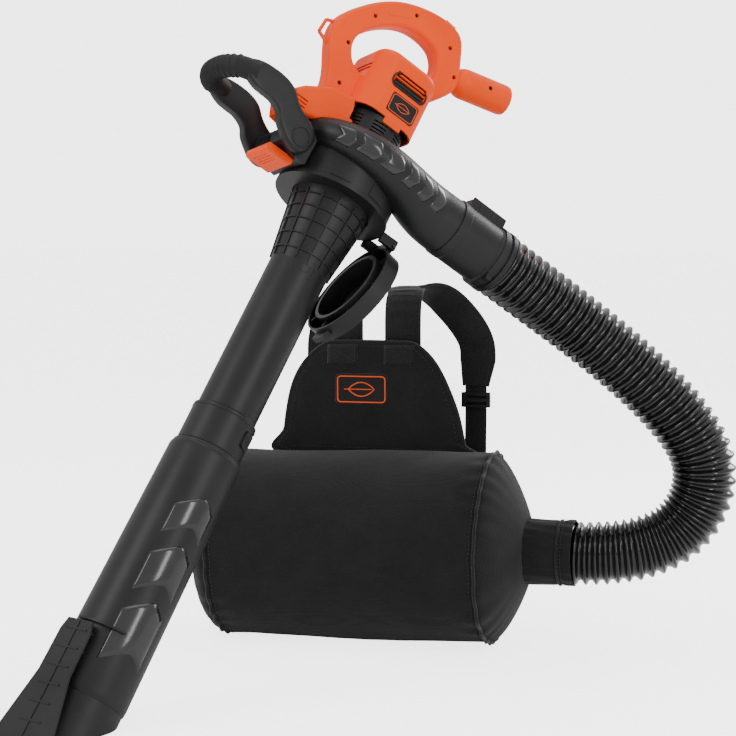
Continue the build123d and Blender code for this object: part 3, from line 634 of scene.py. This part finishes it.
def block(name, low, high, bevel):
    """A black box between two corners in the head's frame, with rounded edges."""
    (x0, y0, z0), (x1, y1, z1) = low, high
    verts = [head(x, y, z) for z in (z0, z1) for x, y in ((x0, y0), (x1, y0), (x1, y1), (x0, y1))]
    faces = [(3, 2, 1, 0), (4, 5, 6, 7), (0, 1, 5, 4), (1, 2, 6, 5), (2, 3, 7, 6), (3, 0, 4, 7)]
    obj = piece(name, verts, faces, "black")
    round_off = obj.modifiers.new("bevel", "BEVEL")
    round_off.width = bevel
    round_off.segments = 4
    obj.data.set_sharp_from_angle(angle=math.radians(40))


# front handle in the head's frame: outline of an arm in x and z, and points along the grip
ARM_EDGE = [(-240, 70), (-222, 60), (-204, 58), (-186, 57), (-168, 49), (-158, 34), (-144, 22),
            (-130, 13), (-112, 11), (-98, 22), (-95, 44), (-107, 60), (-128, 69), (-144, 79),
            (-160, 94), (-180, 101), (-204, 102), (-226, 99), (-242, 90)]
ARM_MIDDLE, ARM_Y = Vector((-168, 62)), 57
ARM_HALF = ((0.02, 9.2), (0.6, 9.2), (0.86, 9.0), (0.94, 8.2), (0.985, 6.0), (1.0, 3.2))
ARM_SECTION = ARM_HALF + tuple((q, -wide) for q, wide in ARM_HALF[::-1])
HUB_AT, HUB_R, HUB_OUT = (-118, 34), 15, 9.4
GRIP_BOW = [(-220, -58, 81), (-246, -46, 78), (-260, -22, 75), (-263, 0, 74), (-260, 22, 75),
            (-246, 46, 78), (-220, 58, 81)]
GRIP_R, RIB_HIGH, RIB_PITCH, RIBLESS_END = 15.6, 1.7, 8, 22  # the last two in curve points


def build_arm(side, y):
    """One broad arm of the front handle, with rounded edges and a ring round its hub."""
    outline = smooth_loop(ARM_EDGE, 6)
    rings = []
    for q, wide in ARM_SECTION:
        flat = [ARM_MIDDLE + (p - ARM_MIDDLE) * q for p in outline]
        rings.append([head(p.x, y + wide, p.y) for p in flat])
    arm = loft_rings(f"handle_arm_{side}", rings, "black", "front_handle")
    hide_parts("front_handle")
    face = y + math.copysign(HUB_OUT, y)
    hub = [head(HUB_AT[0] + HUB_R * c, face, HUB_AT[1] + HUB_R * s) for c, s in circle(48)]
    bead(f"handle_hub_ring_{side}", hub, 0.0013, "black", "front_handle", closed=True)


def build_front_handle():
    """Bowed, ribbed grip between two broad arms."""
    build_arm("near", -ARM_Y)
    build_arm("far", ARM_Y)
    line = catmull([Vector(p) for p in GRIP_BOW], 24)
    last, rings = len(line) - 1, []
    for i, here in enumerate(line):
        ahead = (line[min(last, i + 1)] - line[max(0, i - 1)]).normalized()
        up = (Vector((0, 0, 1)) - ahead * ahead.z).normalized()
        out = ahead.cross(up)
        radius = GRIP_R
        if min(i, last - i) >= RIBLESS_END:
            radius += max(0.0, math.sin(2 * math.pi * i / RIB_PITCH)) * RIB_HIGH
        rings.append([head(*(here + out * c * radius + up * s * radius * 1.08))
                      for c, s in circle(32)])
    grip = loft_rings("front_grip_ribbed", rings, "rubber", "front_handle")
    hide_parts("front_grip_sleeve")


def build_latch_housing():
    """Raised guards round the adapter's rocker button, with their grip lines."""
    for side, y in (("near", -68), ("far", -37)):
        block(f"latch_cheek_{side}", (184, y, 100), (252, y + 5, 130), 0.0022)
    block("latch_front_bar", (184, -66, 106), (190, -34, 127), 0.0022)
    block("latch_back_bar", (246, -66, 102), (252, -34, 127), 0.0022)
    for i in range(4):
        x = 200 + 12 * i
        block(f"latch_grip_line_{i + 1}", (x, -68.8, 108), (x + 3, -66, 124), 0.0008)


BADGE_AT, LOUVRE_AT = (12, 180), (8, 216)  # x and z in the head's frame, on the cover's near face


def cover_ray(place, x, z):
    """A way in to the motor cover's near face, at an offset from a place on it."""
    return head(place[0] + x, -140, place[1] + z), head(place[0] + x, 0, place[1] + z)


def build_cover_marks():
    """Badge border and leaf, and the louvre above them, on the motor cover; the dark sheet between
    its bars is painted shade for the vent openings.
    """
    tree = skin("motor_cover", "badge_plate")
    for name, outline, radius in (("badge_border", rounded(47, 29, 5), 0.0007),
                                  ("badge_leaf", leaf(26), 0.0006)):
        laid_bead(name, tree, [cover_ray(BADGE_AT, x, z) for x, z in outline], radius, "line")
    rib = [cover_ray(BADGE_AT, 4 * k - 16, 0) for k in range(8)]
    laid_bead("badge_rib", tree, rib, 0.0005, "line", closed=False)
    proud = head(0, -0.6, 0) - head(0, 0, 0)
    rim = [touch(tree, *cover_ray(LOUVRE_AT, x, z))[0] + proud for x, z in rounded(66, 22, 9)]
    bead("louvre_rim", rim, 0.0016, "black", closed=True)
    rows = []
    for j in range(-4, 5):
        narrowed = 0.86 if abs(j) == 4 else 1
        rows.append([cover_ray(LOUVRE_AT, 2 * k * narrowed, 2.3 * j) for k in range(-15, 16)])
    # painted shade: a sheet darker than the black plastic, between the louvre bars, stands in for
    # the shade inside the vent openings
    laid_pad("louvre_painted_shade", tree, rows, 0.0007, "dark")
    for i, z in enumerate((-5.5, 0, 5.5)):
        bar = [cover_ray(LOUVRE_AT, x, z) for x in range(-29, 30, 4)]
        laid_bead(f"louvre_bar_{i + 1}", tree, bar, 0.0015, "black", closed=False)


# ---- soft goods -----------------------------------------------------------------------------
BAG_X0, BAG_X1, BAG_Y, BAG_Z, BAG_R = -0.353, 0.103, 0.133, -0.860, 0.156
REST_Z = FLOOR_Z + 0.0015
LEFT_DOME, RIGHT_CONE, NECK_R = 0.054, 0.06, 0.0515
BAG_AROUND, DOME_ROWS, BARREL_ROWS, CONE_ROWS = 128, 9, 56, 9
SKIN_OUT, BULGE = 0.001, 0.003  # the skin past the CAD bag, and what the barrel adds at its middle
PUCKERS, PUCKER, PUCKER_REACH = 26, 0.0022, 0.03
SLACK, SLUMP = 0.0034, 0.006


def round_bag(x, radius, angle):
    """A point round the bag's axis; the angle starts at the top."""
    return Vector((x, BAG_Y + radius * math.sin(angle), BAG_Z + radius * math.cos(angle)))


def outwards(place):
    """The way out from the bag's axis, square to it."""
    return Vector((0, place.y - BAG_Y, place.z - BAG_Z)).normalized()


def bag_radius(x):
    """Radius of the bag's skin, pulled in at its seams and rounded off at both ends."""
    full = BAG_R + SKIN_OUT
    if x < BAG_X0:
        t = min(1.0, (BAG_X0 - x) / LEFT_DOME)
        return full * math.sqrt(max(0.0, 1 - t ** 2.2))
    if x > BAG_X1:
        t = min(1.0, (x - BAG_X1) / RIGHT_CONE)
        return full + (NECK_R - full) * t ** 1.5
    t = (x - BAG_X0) / (BAG_X1 - BAG_X0)
    return full + BULGE * math.sin(math.pi * t) ** 2


def bag_point(x, angle, radius):
    """A point of the bag's slack skin, which settles on the ground and puckers at the seams."""
    here = round_bag(x, radius, angle)
    share = min(1.0, radius / 0.1)
    seam = min(abs(x - BAG_X0), abs(x - BAG_X1))
    waves = math.sin(PUCKERS * angle + 9 * noise.noise(here * 5))
    pucker = PUCKER * math.exp(-seam / PUCKER_REACH) * waves
    slack = wrinkle(Vector((x * 0.7, here.y, here.z * 1.5)), 9.0, SLACK)
    slump = SLUMP * math.sin(angle * 3 + 6 * x) * math.exp(-((x + 0.1) / 0.22) ** 2)
    out = Vector((0, math.sin(angle), math.cos(angle)))
    here += out * (pucker + slack + slump) * share
    here.z = max(here.z, REST_Z)
    return here


CLOTH_FRAMES, CLOTH_CAP = 20, 0.006


def puffed(obj, pinned):
    """Inflates a closed cloth mesh a little, holding its seams; no point moves past the cap."""
    rest = [v.co.copy() for v in obj.data.vertices]
    group = obj.vertex_groups.new(name="seams")
    group.add(pinned, 1.0, "REPLACE")
    modifier = obj.modifiers.new("cloth", "CLOTH")
    settings = modifier.settings
    settings.use_pressure = True
    settings.uniform_pressure_force = 4.0
    settings.tension_stiffness = 12
    settings.bending_stiffness = 0.6
    settings.vertex_group_mass = "seams"
    settings.effector_weights.gravity = 0.0
    scene = bpy.context.scene
    scene.frame_start, scene.frame_end = 1, CLOTH_FRAMES
    for i in range(1, CLOTH_FRAMES + 1):
        scene.frame_set(i)
    shaped = obj.evaluated_get(bpy.context.evaluated_depsgraph_get()).to_mesh()
    moved = [v.co.copy() for v in shaped.vertices]
    obj.modifiers.remove(modifier)
    for vertex, was, now in zip(obj.data.vertices, rest, moved):
        step = now - was
        if step.length > CLOTH_CAP:
            step *= CLOTH_CAP / step.length
        place = was + step
        place.z = max(place.z, REST_Z)
        vertex.co = place
    scene.frame_set(1)


def build_bag():
    """The bag: a closed grid of rings along its axis, piped and stitched at its two seams."""
    xs = [BAG_X0 - LEFT_DOME * math.sin(math.radians(90 * (1 - i / DOME_ROWS)))
          for i in range(1, DOME_ROWS)]
    left = len(xs)
    xs += [BAG_X0 + (BAG_X1 - BAG_X0) * i / BARREL_ROWS for i in range(BARREL_ROWS + 1)]
    right = len(xs) - 1
    xs += [BAG_X1 + RIGHT_CONE * i / CONE_ROWS for i in range(1, CONE_ROWS + 1)]
    neck = len(xs) - 1

    def ring(row):
        """Numbers of the points of one ring; point 0 is the left pole."""
        return [1 + row * BAG_AROUND + j for j in range(BAG_AROUND)]

    verts = [Vector((BAG_X0 - LEFT_DOME, BAG_Y, BAG_Z))]
    for x in xs:
        radius = bag_radius(x)
        verts += [bag_point(x, 2 * math.pi * j / BAG_AROUND, radius) for j in range(BAG_AROUND)]
    verts.append(Vector((BAG_X1 + RIGHT_CONE, BAG_Y, BAG_Z)))
    pole = len(verts) - 1
    faces = [tuple(1 + k for k in face) for face in grid_faces(len(xs), BAG_AROUND, wrap=True)]
    first, last = ring(0), ring(neck)
    faces += [(0, b, a) for a, b in zip(first, first[1:] + first[:1])]
    faces += [(pole, a, b) for a, b in zip(last, last[1:] + last[:1])]
    bag = piece("bag_skin", verts, faces, "cloth")
    puffed(bag, ring(left) + ring(right) + last + [0, pole])
    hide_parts("bag_body")
    points = [v.co.copy() for v in bag.data.vertices]
    for side, row, inward in (("left", left, 1), ("right", right, -1)):
        edge = []
        for k in ring(row):
            edge.append(points[k] + outwards(points[k]) * 0.0015)
            edge[-1].z = max(edge[-1].z, REST_Z + 0.002)
        cord = bead(f"piping_cord_{side}", edge, 0.0028, "tape", closed=True)
        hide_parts(f"piping_{side}")
        inner = ring(row + inward)
        seam = [points[k] + outwards(points[k]) * 0.0006 for k in inner + inner[:1]]
        stitches(f"seam_stitches_{side}", seam, pitch=0.007)
    subdivide(bag)


SLEEVE_X, SLEEVE_LONG, SLEEVE_R, SLEEVE_GATHER = 0.150, 0.090, 0.0528, 0.002
SLEEVE_ROWS, HEM_ROWS, HEM_FROM = 30, 8, 0.84  # the last as a share of the length
HEM_THICK, TIE_DEEP, TIE_AT = 0.0012, 0.0018, 0.74


def build_sleeve():
    """The gathered cloth sleeve that holds the hose's cuff, with a hem and a draw cord."""
    rings = []
    for i in range(SLEEVE_ROWS + 1):
        t = i / SLEEVE_ROWS
        x = SLEEVE_X + SLEEVE_LONG * t
        hem = HEM_THICK if t > HEM_FROM else 0.0
        tie = -TIE_DEEP * math.exp(-((t - TIE_AT) / 0.05) ** 2)
        ring = []
        for j in range(96):
            angle = 2 * math.pi * j / 96
            fold = 0.0012 * math.sin(17 * angle + 5 * t) * (0.3 + abs(t - 0.5))
            uneven = wrinkle(Vector((x, angle, 0)), 14.0, 0.0008)
            radius = SLEEVE_R + SLEEVE_GATHER * (1 - t) + fold + hem + tie + uneven
            ring.append(round_bag(x, radius, angle))
        rings.append(ring)
    for i in range(HEM_ROWS):  # the hem, turned back inside
        shrink = 0.0022 + 0.0002 * i
        rings.append([p - outwards(p) * shrink for p in rings[SLEEVE_ROWS - i]])
    sleeve = loft_rings("sleeve_cloth", rings, "cloth", caps=False)
    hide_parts("bag_sleeve")
    for i, x in enumerate((0.2195, 0.2235)):
        row = [round_bag(x, 0.0552, a / 24 * math.pi) for a in range(49)]
        stitches(f"sleeve_hem_stitches_{i + 1}", row)
    tie = [round_bag(0.2165, 0.0535, a / 30 * math.pi) for a in range(60)]
    bead("sleeve_draw_cord", tie, 0.0018, "tape", closed=True)


def spline_point(a, b, c, d, t):
    """A point between b and c of a Catmull-Rom curve."""
    return 0.5 * (2 * b + (c - a) * t + (2 * a - 5 * b + 4 * c - d) * t * t
                  + (3 * b - a - 3 * c + d) * t ** 3)


def smooth_loop(points, steps=10):
    """A rounded closed loop through points."""
    out, count = [], len(points)
    for i in range(count):
        a, b, c, d = (Vector(points[(i + k) % count]) for k in (-1, 0, 1, 2))
        out += [spline_point(a, b, c, d, j / steps) for j in range(steps)]
    return out


def catmull(points, steps):
    """An open smooth curve through points."""
    ends = [points[0] * 2 - points[1]] + points + [points[-1] * 2 - points[-2]]
    out = []
    for a, b, c, d in zip(ends, ends[1:], ends[2:], ends[3:]):
        out += [spline_point(a, b, c, d, j / steps) for j in range(steps)]
    return out + [points[-1]]


PANEL_Y, PANEL_T = 0.175, 0.014
PANEL_EDGE = [(-275, -713), (-276, -668), (-264, -600), (-242, -556), (-206, -524), (-170, -519),
              (-80, -519), (-42, -524), (-6, -560), (26, -630), (40, -690), (42, -713)]
PANEL_MIDDLE = Vector((-0.117, -0.625))
QUILTING_AT = 0.93  # share of the way from the panel's middle to its edge
PANEL_STEPS = [0.02, 0.15, 0.3, 0.45, 0.6, 0.72, 0.82, 0.9, 0.955, 0.985, 1.0]
PATCH_Z = -0.540
# the stitch lines of a crossed box by the number in their pieces' names: sides, then diagonals
CROSSED_BOX = {0: ((-1, -1), (1, -1)), 1: ((1, -1), (1, 1)), 2: ((1, 1), (-1, 1)),
               3: ((-1, 1), (-1, -1)), 4: ((-1, -1), (1, 1)), 6: ((-1, 1), (1, -1))}
BADGE_MIDDLE = Vector((-0.138, 0, -0.600))


def build_panel():
    """Padded back panel: crowned front and back, bound edge, quilting line, patches and badge."""
    edge = [p * MM for p in smooth_loop(PANEL_EDGE)]
    rings = []
    for side in (-1, 1):
        for q in PANEL_STEPS if side < 0 else PANEL_STEPS[-2::-1]:
            half = PANEL_T / 2 * (math.sqrt(max(0.0, 1 - q ** 9)) * 0.8 + 0.2)
            ring = []
            for p in edge:
                flat = PANEL_MIDDLE + (p - PANEL_MIDDLE) * q
                bumpy = wrinkle(Vector((flat.x, 0, flat.y)), 16.0, 0.0016, 3.0) * (1 - q ** 6)
                ring.append(Vector((flat.x, PANEL_Y + PANEL_T / 2 + side * half + bumpy, flat.y)))
            rings.append(ring)
    panel = loft_rings("panel_pad", rings, "cloth")
    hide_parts("back_panel")
    subdivide(panel)
    shell = surface(panel)

    def front(x, z, lift):
        """A place on the panel's near face, raised by lift."""
        place, _ = touch(shell, Vector((x, 0.0, z)), Vector((x, 0.3, z)))
        return place + Vector((0, -lift, 0))

    binding = [Vector((p.x, PANEL_Y + 0.006, p.y)) for p in edge]
    bead("panel_binding", binding, 0.0032, "tape", closed=True)
    inner = [PANEL_MIDDLE + (p - PANEL_MIDDLE) * QUILTING_AT for p in edge]
    quilting = [front(p.x, p.y, 0.0004) for p in inner + inner[:1]]
    stitches("panel_stitches", quilting, pitch=0.007)
    base = [front(-0.265 + 0.296 * i / 40, -0.700, 0.0004) for i in range(41)]
    stitches("panel_base_stitches", base)
    build_strap_patch(front, "left", -0.172)
    build_strap_patch(front, "right", -0.072)
    build_panel_badge(front)


def build_strap_patch(front, side, x0):
    """A patch over a strap's end, sewn down with a crossed box."""
    top = [front(x0 + 0.027 * (i / 4 - 1), PATCH_Z + 0.016 * (j / 3 - 1), 0.0012)
           for j in range(7) for i in range(9)]
    low = [p + Vector((0, 0.0014, 0)) for p in top]
    patch = piece(f"strap_patch_{side}", top + low, slab_faces(7, 9), "tape")
    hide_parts("strap_patches")
    for k, ((ax, az), (bx, bz)) in CROSSED_BOX.items():
        row = [front(x0 + 0.022 * (ax + (bx - ax) * i / 6),
                     PATCH_Z + 0.012 * (az + (bz - az) * i / 6), 0.0016) for i in range(7)]
        stitches(f"patch_stitches_{side}_{k}", row, pitch=0.004)


def build_panel_badge(front):
    """A woven patch with a leaf in an orange border."""
    middle = BADGE_MIDDLE
    flat = [Vector((x, 0, z)) * MM + middle for x, z in rounded(94, 54, 9, 6)]
    rings = []
    for q, lift in ((0.01, 0.0014), (0.5, 0.0014), (0.9, 0.0014), (0.985, 0.0012),
                    (1.0, 0.0004), (1.0, -0.001)):
        places = [middle + (p - middle) * q for p in flat]
        rings.append([front(p.x, p.z, lift) for p in places])
    patch = loft_rings("badge_patch", rings, "tape")
    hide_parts("panel_badge")
    for name, outline, radius in (("patch_border", rounded(84, 44, 6, 6), 0.0012),
                                  ("patch_leaf", leaf(46), 0.0011)):
        points = [front(x * MM + middle.x, z * MM + middle.z, 0.0016) for x, z in outline]
        bead(name, points, radius, "line", closed=True)
    rib = [front(x * MM + middle.x, middle.z, 0.0016) for x in range(-30, 20, 6)]
    bead("patch_rib", rib, 0.0009, "line")


STRAP_FRONT, STRAP_REAR = 0.195, 0.301
STRAP_HALF, STRAP_HALF_T, STRAP_RIB, BINDING_HALF = 0.0285, 0.0050, 0.0008, 0.0290
STRAP_TAPER, TAPER_POINTS = 0.28, 8
TAIL_TOP, TAIL_LOW = -0.596, -0.768
TAIL_SECTION = ((-0.019, -0.0009), (0, -0.0012), (0.019, -0.0009), (0.019, 0.0009),
                (0, 0.0012), (-0.019, 0.0009))


def build_strap(side, x0, x1):
    """Padded, ribbed shoulder strap with bound edges, and its webbing tail."""
    route = [(x0, STRAP_FRONT, -0.560), (x0, STRAP_FRONT, -0.470),
             (x0, STRAP_FRONT + 0.017, -0.438), (x0, STRAP_FRONT + 0.057, -0.430),
             ((x0 + x1) / 2, STRAP_REAR - 0.020, -0.450), (x1, STRAP_REAR - 0.004, -0.520),
             (x1, STRAP_REAR, -0.600)]
    line = catmull([Vector(p) for p in route], 14)
    rings, edges = [], ([], [])
    last = len(line) - 1
    for i, here in enumerate(line):
        ahead = (line[min(last, i + 1)] - line[max(0, i - 1)]).normalized()
        across = (Vector((1, 0, 0)) - ahead * ahead.x).normalized()
        up = ahead.cross(across)
        taper = 1.0 - STRAP_TAPER * max(0, i - last + TAPER_POINTS) / TAPER_POINTS
        rib = STRAP_RIB * math.cos(2 * math.pi * i / 5)
        ring = []
        for c, s in circle(24):
            wide = math.copysign(abs(c) ** 0.55, c) * STRAP_HALF * taper
            thick = math.copysign(abs(s) ** 0.8, s) * (STRAP_HALF_T + rib * (1 - abs(c)))
            ring.append(here + across * wide + up * thick)
        rings.append(ring)
        for sign, row in zip((-1, 1), edges):
            row.append(here + across * BINDING_HALF * taper * sign)
    band = loft_rings(f"strap_pad_{side}", rings, "mesh")
    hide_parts(f"strap_{side}")
    subdivide(band)
    for name, row in zip("ab", edges):
        bead(f"strap_binding_{side}_{name}", row, 0.0027, "tape")
    rings = []
    for i in range(61):
        z = TAIL_TOP + (TAIL_LOW - TAIL_TOP) * i / 60
        y = STRAP_REAR + 0.0012 * math.sin(i / 9) - 0.0006
        rings.append([Vector((x1 + x, y + t, z)) for x, t in TAIL_SECTION])
    tail = loft_rings(f"webbing_tape_{side}", rings, "tape")
    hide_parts(f"webbing_{side}")
    for name, sign in (("a", -1), ("b", 1)):
        row = [Vector((x1 + sign * 0.0155, STRAP_REAR - 0.0022, z * MM))
               for z in range(-766, -642, 4)]
        stitches(f"webbing_stitches_{side}_{name}", row, pitch=0.005, radius=0.0004)


build_camera()
build_hose()
dress_frame()
build_tube_marks()
build_scroll_marks()
build_cover_marks()
build_latch_housing()
build_front_handle()
build_bag()
build_sleeve()
build_panel()
build_strap("left", -0.172, -0.238)
build_strap("right", -0.070, 0.034)
build_studio()
